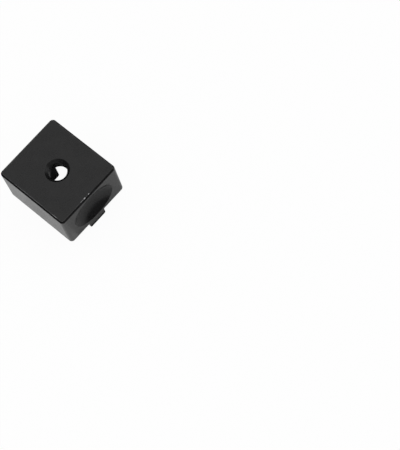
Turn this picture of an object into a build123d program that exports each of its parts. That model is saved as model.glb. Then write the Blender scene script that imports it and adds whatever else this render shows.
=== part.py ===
"""Keyboard switch opener: one block of black anodised aluminium, milled all over.

The block stands on its two pry tabs. X runs from one scooped face to the other, Z is up,
and the origin is the middle of the footprint, on the surface that the tabs stand on.
All sizes are in millimetres.
"""
from build123d import *
import math
import os

# block
block_length = 26.0            # along X, from one scooped face to the other
block_width = 23.0             # along Y
block_height = 14.4            # from the underside to the top face
corner_radius = 1.2            # upright corners
top_chamfer = 0.5              # round the top face
underside_chamfer = 0.2        # round the underside

# pocket for the switch, open below
pocket_length = 16.0           # along X
pocket_width = 16.0            # along Y
pocket_corner_radius = 1.0     # left by the end mill
roof_thickness = 3.4           # metal between the pocket and the top face
mouth_chamfer = 0.3            # lead-in round the pocket's mouth

# hole in the roof
stem_hole_diameter = 5.6
countersink_diameter = 7.6
countersink_angle = 90.0       # included angle, in degrees

# pry tabs, one under each scooped face, each going up into the pocket as a rib
tab_drop = 2.5                 # below the underside
tab_width = 6.3                # along Y
tab_middle_y = -0.6            # the tabs stand a little to one side
tab_tip_radius = 0.6           # at both ends of the tip
nose_reach = 1.6               # from the pocket's wall to the rib's inner face
rib_root_radius = 0.4          # where a rib meets the pocket's wall

# slot across each tab, where a spread clip goes
nose_land = 0.4                # flat left on the nose's tip
slot_mouth_width = 2.2         # at the tip of the tab
slot_floor_width = 1.1         # the nose's outer side slopes from the mouth to the floor

# finger scoops, one in each end face, left by a ball-nosed cutter
scoop_length = 15.8            # along Y, longer than the scoop is high
scoop_height = 12.5            # along Z
scoop_depth = 3.0
scoop_middle_drop = 7.25       # from the top face down to the scoop's middle

# heights
tip_level = 0.0
underside_level = tip_level + tab_drop
top_level = underside_level + block_height
roof_level = top_level - roof_thickness

# distances from the middle plane
end_face_x = block_length / 2
pocket_wall_x = pocket_length / 2
nose_x = pocket_wall_x - nose_reach
both_ends = (-1, 1)

# two places closer than this are the same place
same_place = 1e-6

# a solid is placed by the middle of its lower or of its upper face
on_its_foot = (Align.CENTER, Align.CENTER, Align.MIN)
under_its_rim = (Align.CENTER, Align.CENTER, Align.MAX)


def pocket_outline():
    """The pocket as seen from below: a rounded rectangle with a rib let in at each end."""
    outline = RectangleRounded(pocket_length, pocket_width, pocket_corner_radius)
    for end in both_ends:
        outline -= Pos(end * pocket_wall_x, tab_middle_y) * Rectangle(2 * nose_reach, tab_width)
    roots = [vertex for vertex in outline.vertices() if is_rib_root(vertex)]
    return fillet(roots, rib_root_radius)


def is_rib_root(vertex):
    """True where the pocket's end wall turns into the side of a rib."""
    on_wall = abs(abs(vertex.X) - pocket_wall_x) < same_place
    beside_rib = abs(abs(vertex.Y - tab_middle_y) - tab_width / 2) < same_place
    return on_wall and beside_rib


def block():
    """The milled block, with its pocket and its chamfered rims, before the tabs."""
    outer = RectangleRounded(block_length, block_width, corner_radius)
    body = Pos(0, 0, underside_level) * extrude(outer, block_height)
    body = chamfer(body.faces().sort_by(Axis.Z)[-1].edges(), top_chamfer)
    body = chamfer(body.faces().sort_by(Axis.Z)[0].edges(), underside_chamfer)
    pocket = Pos(0, 0, underside_level) * extrude(pocket_outline(), roof_level - underside_level)
    body -= pocket
    mouth = body.faces().sort_by(Axis.Z)[0].inner_wires()[0].edges()
    return chamfer(mouth, mouth_chamfer)


def pry_tab(end):
    """A tab flush with the end face, as thick as the wall and the rib together."""
    thickness = end_face_x - nose_x
    foot_height = tab_drop + max(underside_chamfer, mouth_chamfer)
    foot = Box(thickness, tab_width, foot_height, align=on_its_foot)
    tip_ends = foot.edges().filter_by(Axis.X).group_by(Axis.Z)[0]
    foot = fillet(tip_ends, tab_tip_radius)
    return Pos(end * (nose_x + thickness / 2), tab_middle_y, tip_level) * foot


def clip_slot(end):
    """A slot across the tab: its inner side is the nose's ramp, its outer side is upright."""
    ramp_tip = nose_x + nose_land
    outer_side = ramp_tip + slot_mouth_width
    ramp_foot = outer_side - slot_floor_width
    corners = [
        (end * ramp_tip, tip_level),
        (end * outer_side, tip_level),
        (end * outer_side, underside_level),
        (end * ramp_foot, underside_level),
    ]
    profile = Plane.XZ * make_face(Polyline(corners, close=True))
    return Pos(0, tab_middle_y, 0) * extrude(profile, tab_width, both=True)


def stem_hole():
    """The hole over the switch's stem, with its countersink."""
    bore_radius = stem_hole_diameter / 2
    rim_radius = countersink_diameter / 2
    bore = Cylinder(bore_radius, roof_thickness, align=on_its_foot)
    cone = Cone(bore_radius, rim_radius, countersink_depth(), align=under_its_rim)
    return Pos(0, 0, roof_level) * bore + Pos(0, 0, top_level) * cone


def countersink_depth():
    """How deep the cone goes before it meets the bore."""
    flare = (countersink_diameter - stem_hole_diameter) / 2
    return flare / math.tan(math.radians(countersink_angle / 2))


def finger_scoop(end):
    """A rounded hollow: the cutter's ball nose, swung across the face about an upright axis."""
    nose_radius = arc_radius(scoop_height, scoop_depth)
    swing_radius = arc_radius(scoop_length, scoop_depth)
    neck = swing_radius - nose_radius
    nose = ThreePointArc((neck, -nose_radius), (swing_radius, 0), (neck, nose_radius))
    shank = Polyline((neck, nose_radius), (0, nose_radius), (0, -nose_radius), (neck, -nose_radius))
    cutter = Plane.XZ * make_face([nose, *shank.edges()])
    swing_x = end_face_x - scoop_depth + swing_radius
    scoop = Pos(swing_x, 0, top_level - scoop_middle_drop) * revolve(cutter, Axis.Z)
    return scoop if end > 0 else mirror(scoop, Plane.YZ)


def arc_radius(chord, rise):
    """Radius of the arc that rises by this much over this chord."""
    return (chord**2 / 4 + rise**2) / (2 * rise)


def switch_opener():
    """The whole opener, one solid."""
    body = block()
    for end in both_ends:
        body += pry_tab(end)
    for end in both_ends:
        body -= clip_slot(end)
        body -= finger_scoop(end)
    return body - stem_hole()


os.makedirs("parts", exist_ok=True)
export_step(switch_opener(), "parts/switch_opener.step")
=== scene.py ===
"""Keyboard switch opener: the finish of its one piece, and the small studio it stands in."""
import math

import bpy
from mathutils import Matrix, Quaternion, Vector


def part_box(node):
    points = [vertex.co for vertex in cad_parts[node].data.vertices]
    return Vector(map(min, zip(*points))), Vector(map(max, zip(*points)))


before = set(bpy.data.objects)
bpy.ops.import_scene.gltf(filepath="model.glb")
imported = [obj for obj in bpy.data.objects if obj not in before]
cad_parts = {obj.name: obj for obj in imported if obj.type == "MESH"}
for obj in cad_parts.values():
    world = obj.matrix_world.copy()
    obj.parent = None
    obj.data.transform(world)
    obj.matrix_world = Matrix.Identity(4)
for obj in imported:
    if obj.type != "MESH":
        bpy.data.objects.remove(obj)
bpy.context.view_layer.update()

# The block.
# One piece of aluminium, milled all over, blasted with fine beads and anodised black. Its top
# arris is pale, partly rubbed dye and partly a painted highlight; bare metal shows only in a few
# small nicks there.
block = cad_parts["switch_opener"]
low_corner, high_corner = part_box("switch_opener")
top_level = high_corner.z

anodised = bpy.data.materials.new("black_anodised_satin")
anodised.use_nodes = True
nodes = anodised.node_tree.nodes
wires = anodised.node_tree.links
skin = nodes["Principled BSDF"]
skin.inputs["IOR"].default_value = 1.38
place = nodes.new("ShaderNodeTexCoord").outputs["Object"]

dye_full = (0.0015, 0.0015, 0.0016, 1.0)
dye_thin = (0.0125, 0.0125, 0.0128, 1.0)
# Pale arris colour: partly dye rubbed thin, partly a painted highlight.
rubbed_dye_and_highlight = (0.2000, 0.2000, 0.2020, 1.0)
bare_metal = (0.70, 0.70, 0.71, 1.0)


def noise(size, detail, roughness=0.5):
    """Noise over the block whose patches are about this many metres across."""
    texture = nodes.new("ShaderNodeTexNoise")
    texture.inputs["Scale"].default_value = 1 / size
    texture.inputs["Detail"].default_value = detail
    texture.inputs["Roughness"].default_value = roughness
    wires.new(place, texture.inputs["Vector"])
    return texture.outputs["Fac"]


def spread(value, from_range, to_range=(0.0, 1.0)):
    """The value, stretched from one range to another and kept inside it."""
    node = nodes.new("ShaderNodeMapRange")
    node.inputs["From Min"].default_value, node.inputs["From Max"].default_value = from_range
    node.inputs["To Min"].default_value, node.inputs["To Max"].default_value = to_range
    wires.new(value, node.inputs["Value"])
    return node.outputs["Result"]


def combine(operation, first, second):
    """Two values put together by one sum."""
    node = nodes.new("ShaderNodeMath")
    node.operation = operation
    wires.new(first, node.inputs[0])
    wires.new(second, node.inputs[1])
    return node.outputs["Value"]


def length_of(vector):
    """The length of a vector."""
    node = nodes.new("ShaderNodeVectorMath")
    node.operation = "LENGTH"
    wires.new(vector, node.inputs[0])
    return node.outputs["Value"]


def blend_colours(share, first, second):
    """From the first colour to the second as the share goes from 0 to 1."""
    node = nodes.new("ShaderNodeMix")
    node.data_type = "RGBA"
    wires.new(share, node.inputs["Factor"])
    for name, colour in (("A", first), ("B", second)):
        socket = [s for s in node.inputs if s.name == name and s.type == "RGBA"][0]
        if isinstance(colour, tuple):
            socket.default_value = colour
        else:
            wires.new(colour, socket)
    return [s for s in node.outputs if s.type == "RGBA"][0]


def nick(x, y, size_x, size_y, bare):
    """A nick at the top level with a torn rim: inside it, this share of the metal is bare."""
    spot = nodes.new("ShaderNodeMapping")
    spot.vector_type = "TEXTURE"
    spot.inputs["Location"].default_value = (x, y, top_level)
    spot.inputs["Scale"].default_value = (size_x / 2, size_y / 2, min(size_x, size_y) / 2)
    wires.new(place, spot.inputs["Vector"])
    reach = length_of(spot.outputs["Vector"])
    return spread(combine("ADD", reach, torn), (1.1, 0.8), (0.0, bare))


# The dimples of the blasting, the slow changes of the dye bath, and the torn rims of the nicks.
# The dimples and the bath's patches thin the dye by their two shares, added together.
dimple_size = 0.00020
dimple_depth = 0.000012
bath_patch_size = 0.0035
tear_size = 0.00022
dimple_share = 0.7
bath_share = 0.3
grain = noise(dimple_size, 2.0, 0.6)
speckle = spread(grain, (0.35, 0.65), (0.0, dimple_share))
patches = spread(noise(bath_patch_size, 3.0), (0.3, 0.7), (0.0, bath_share))
torn = spread(noise(tear_size, 4.0, 0.7), (0.3, 0.7), (-0.6, 0.6))

# Each arris is broken by about a tenth of a millimetre, and shows where that turns the surface.
arris_radius = 0.00012
broken = nodes.new("ShaderNodeBevel")
broken.samples = 8
broken.inputs["Radius"].default_value = arris_radius
flat = nodes.new("ShaderNodeNewGeometry").outputs["Normal"]
turn = nodes.new("ShaderNodeVectorMath")
turn.operation = "DOT_PRODUCT"
wires.new(broken.outputs["Normal"], turn.inputs[0])
wires.new(flat, turn.inputs[1])
arris = spread(turn.outputs["Value"], (0.9999, 0.98))

# Pale arris round the top face, uneven and more on the two sides where X and Y are low: partly
# dye rubbed off by hands, partly a painted highlight. The hole's rim and the lower arrises are
# sheltered and get little.
# Seen from the origin, that rim is nearer than hole_reach, and the outer arris beyond top_reach.
hand_patch_size = 0.0083
sheltered_wear_and_highlight = 0.1
hole_reach = 0.018
top_reach = 0.019
axes = nodes.new("ShaderNodeSeparateXYZ")
wires.new(place, axes.inputs["Vector"])
at_top = spread(axes.outputs["Z"], (top_level - 0.0004, top_level - 0.0001))
past_hole = spread(length_of(place), (hole_reach, top_reach))
handled_and_highlit = spread(combine("MULTIPLY", at_top, past_hole), (0.0, 1.0), (sheltered_wear_and_highlight, 1.0))
uneven = spread(noise(hand_patch_size, 3.0), (0.4, 0.6), (0.25, 1.0))
across = combine("ADD", axes.outputs["X"], axes.outputs["Y"])
low_sides = spread(across, (-0.001, 0.005), (1.0, 0.4))
rubbed_and_highlight = arris
for wear in (handled_and_highlit, uneven, low_sides):
    rubbed_and_highlight = combine("MULTIPLY", rubbed_and_highlight, wear)

# The nicks: a rubbed stretch over the scoop with three nicks in it, and two on the long side.
# Each row gives the place in X and Y, the size along X and Y, and the share of bare metal.
scoop_side = high_corner.x - 0.00054
long_side = low_corner.y + 0.00050
nick_rows = (
    (scoop_side, -0.00185, 0.00016, 0.00580, 0.05),
    (scoop_side, -0.00146, 0.00030, 0.00056, 0.60),
    (scoop_side, 0.00033, 0.00021, 0.00044, 0.85),
    (scoop_side, -0.00263, 0.00014, 0.00130, 0.30),
    (0.00950, long_side, 0.00160, 0.00012, 0.45),
    (-0.00290, long_side, 0.00100, 0.00012, 0.08),
)
nicks = nick(*nick_rows[0])
for row in nick_rows[1:]:
    nicks = combine("MAXIMUM", nicks, nick(*row))

dyed = blend_colours(combine("ADD", patches, speckle), dye_full, dye_thin)
# The pale arris blended in here is partly rubbed dye and partly a painted highlight.
worn_and_highlit = blend_colours(rubbed_and_highlight, dyed, rubbed_dye_and_highlight)
wires.new(blend_colours(nicks, worn_and_highlit, bare_metal), skin.inputs["Base Color"])
wires.new(nicks, skin.inputs["Metallic"])
bath_sheen = spread(patches, (0.0, bath_share), (0.25, 0.29))
dimple_sheen = spread(speckle, (0.0, dimple_share), (0.0, 0.08))
wires.new(combine("ADD", bath_sheen, dimple_sheen), skin.inputs["Roughness"])

blasted = nodes.new("ShaderNodeBump")
blasted.inputs["Strength"].default_value = 0.5
blasted.inputs["Distance"].default_value = dimple_depth
wires.new(combine("SUBTRACT", grain, nicks), blasted.inputs["Height"])
wires.new(broken.outputs["Normal"], blasted.inputs["Normal"])
wires.new(blasted.outputs["Normal"], skin.inputs["Normal"])

block.material_slots[0].material = anodised

# The floor.
# A wide sheet of white paper. To the camera and in reflections it is white, with the block's
# faint shadow; everywhere else it is plain paper that throws light back.
paper_radius = 3.0
paper_level = low_corner.z - 0.00002
paper_colour = (0.80, 0.80, 0.80, 1.0)
white_share = 0.95

bpy.ops.object.select_all(action="DESELECT")
bpy.ops.mesh.primitive_circle_add(
    vertices=128, radius=paper_radius, fill_type="NGON", location=(0, 0, paper_level)
)
floor = bpy.context.object
floor.name = "floor"
bpy.ops.object.transform_apply(location=True, rotation=False, scale=False)

paper = bpy.data.materials.new("white_paper")
paper.use_nodes = True
sheet_nodes = paper.node_tree.nodes
sheet_wires = paper.node_tree.links
sheet_nodes.clear()
rays = sheet_nodes.new("ShaderNodeLightPath")
seen = rays.outputs["Is Camera Ray"]
for kind in ("Is Glossy Ray", "Is Transmission Ray"):
    either = sheet_nodes.new("ShaderNodeMath")
    either.operation = "MAXIMUM"
    sheet_wires.new(seen, either.inputs[0])
    sheet_wires.new(rays.outputs[kind], either.inputs[1])
    seen = either.outputs["Value"]
whitened = sheet_nodes.new("ShaderNodeMath")
whitened.operation = "MULTIPLY"
sheet_wires.new(seen, whitened.inputs[0])
whitened.inputs[1].default_value = white_share
lit = sheet_nodes.new("ShaderNodeBsdfDiffuse")
lit.inputs["Color"].default_value = paper_colour
white = sheet_nodes.new("ShaderNodeEmission")
white.inputs["Strength"].default_value = 1.0
mix = sheet_nodes.new("ShaderNodeMixShader")
sheet_wires.new(whitened.outputs["Value"], mix.inputs["Fac"])
sheet_wires.new(lit.outputs["BSDF"], mix.inputs[1])
sheet_wires.new(white.outputs["Emission"], mix.inputs[2])
out = sheet_nodes.new("ShaderNodeOutputMaterial")
sheet_wires.new(mix.outputs["Shader"], out.inputs["Surface"])
floor.data.materials.append(paper)

# The light.
# An even white dome and no lamp, at a level where a colour renders as it is written.
world = bpy.data.worlds.new("soft_dome")
bpy.context.scene.world = world
world.use_nodes = True
sky = world.node_tree.nodes["Background"]
sky.inputs["Color"].default_value = (1.0, 1.0, 1.0, 1.0)
sky.inputs["Strength"].default_value = 1.0

# The black ring.
# A band of black card stands round the set, its two ends apart, and only reflections see it. It
# darkens the chamfers and the lower half of the scoops against the white paper.
ring_distance = 0.060
ring_height = 0.055
gap_start = 32.0
gap_end = 75.0
black_tone = 0.01


def plain_card(name, tone, glow=0.0):
    """Matt card of one grey, with no gloss of its own, lit from behind where it glows."""
    card = bpy.data.materials.new(name)
    card.use_nodes = True
    surface = card.node_tree.nodes["Principled BSDF"]
    surface.inputs["Base Color"].default_value = (tone, tone, tone, 1.0)
    surface.inputs["Emission Color"].default_value = (1.0, 1.0, 1.0, 1.0)
    surface.inputs["Emission Strength"].default_value = glow
    surface.inputs["Roughness"].default_value = 1.0
    surface.inputs["Specular IOR Level"].default_value = 0.0
    return card


def only_in_reflections(card):
    """The card shows in the block's sheen, but casts no shadow and isn't seen itself."""
    card.visible_camera = False
    card.visible_diffuse = False
    card.visible_shadow = False
    card.visible_transmission = False


bpy.ops.object.select_all(action="DESELECT")
bpy.ops.mesh.primitive_cylinder_add(
    vertices=96, radius=ring_distance, depth=ring_height, end_fill_type="NOTHING",
    location=(0, 0, ring_height / 2),
)
bpy.ops.object.transform_apply(location=True, rotation=False, scale=False)
ring = bpy.context.object
ring.name = "black_ring"
bpy.ops.object.mode_set(mode="EDIT")
bpy.ops.mesh.select_mode(type="FACE")
bpy.ops.mesh.select_all(action="DESELECT")
bpy.ops.object.mode_set(mode="OBJECT")
for face in ring.data.polygons:
    bearing = math.degrees(math.atan2(face.center.y, face.center.x))
    face.select = gap_start < bearing < gap_end
bpy.ops.object.mode_set(mode="EDIT")
bpy.ops.mesh.delete(type="FACE")
bpy.ops.object.mode_set(mode="OBJECT")
ring.data.materials.append(plain_card("black_card", black_tone))
only_in_reflections(ring)

# The shaded paper.
# Cards on the paper that only reflections see. They shade it round the block, most at the near
# tab's foot and behind the far end, and one is the light under the hole that the bore shows.
shade_level = low_corner.z - 0.00001
raised_level = shade_level + 0.000005
for name, tone, glow, middle, size, level in (
    ("shade_under_block", 0.88, 0.0, (0.0, 0.0), (0.0190, 0.0190), shade_level),
    ("shade_before_scoop", 0.88, 0.0, (0.0260, 0.0135), (0.0280, 0.0430), shade_level),
    ("shade_along_side", 0.28, 0.70, (0.0020, -0.0175), (0.0220, 0.0120), shade_level),
    ("shade_at_foot", 0.02, 0.0, (0.01295, -0.0006), (0.0009, 0.0085), raised_level),
    ("light_through_hole", 0.0, 0.50, (-0.0038, 0.0054), (0.0022, 0.0022), raised_level),
    ("card_behind_block", black_tone, 0.0, (-0.0480, 0.0070), (0.0240, 0.0360), shade_level),
):
    bpy.ops.object.select_all(action="DESELECT")
    bpy.ops.mesh.primitive_plane_add(size=1.0, location=(*middle, level))
    bpy.ops.transform.resize(value=(*size, 1.0))
    bpy.ops.object.transform_apply(location=True, rotation=False, scale=True)
    sheet = bpy.context.object
    sheet.name = name
    sheet.data.materials.append(plain_card(name, tone, glow))
    only_in_reflections(sheet)

# The camera.
# High over one corner of the block, far off with a long lens, and rolled a little. The block
# lies left of the middle, as in the photograph.
camera_place = Vector((0.1791, -0.0728, 0.3913))
camera_aim = Vector((0.038035, 0.017134, 0.0))
camera_roll = math.radians(17.45)
lens = 115.17
film_width = 36.0

camera = bpy.data.objects.new("camera", bpy.data.cameras.new("camera"))
bpy.context.scene.collection.objects.link(camera)
line_of_sight = camera_aim - camera_place
camera.location = camera_place
camera.rotation_mode = "QUATERNION"
upright = line_of_sight.to_track_quat("-Z", "Y")
camera.rotation_quaternion = Quaternion(line_of_sight.normalized(), camera_roll) @ upright
camera.data.lens = lens
camera.data.sensor_width = film_width
camera.data.clip_start = 0.01
camera.data.clip_end = 10.0
bpy.context.scene.camera = camera
bpy.context.scene.view_settings.view_transform = "Standard"
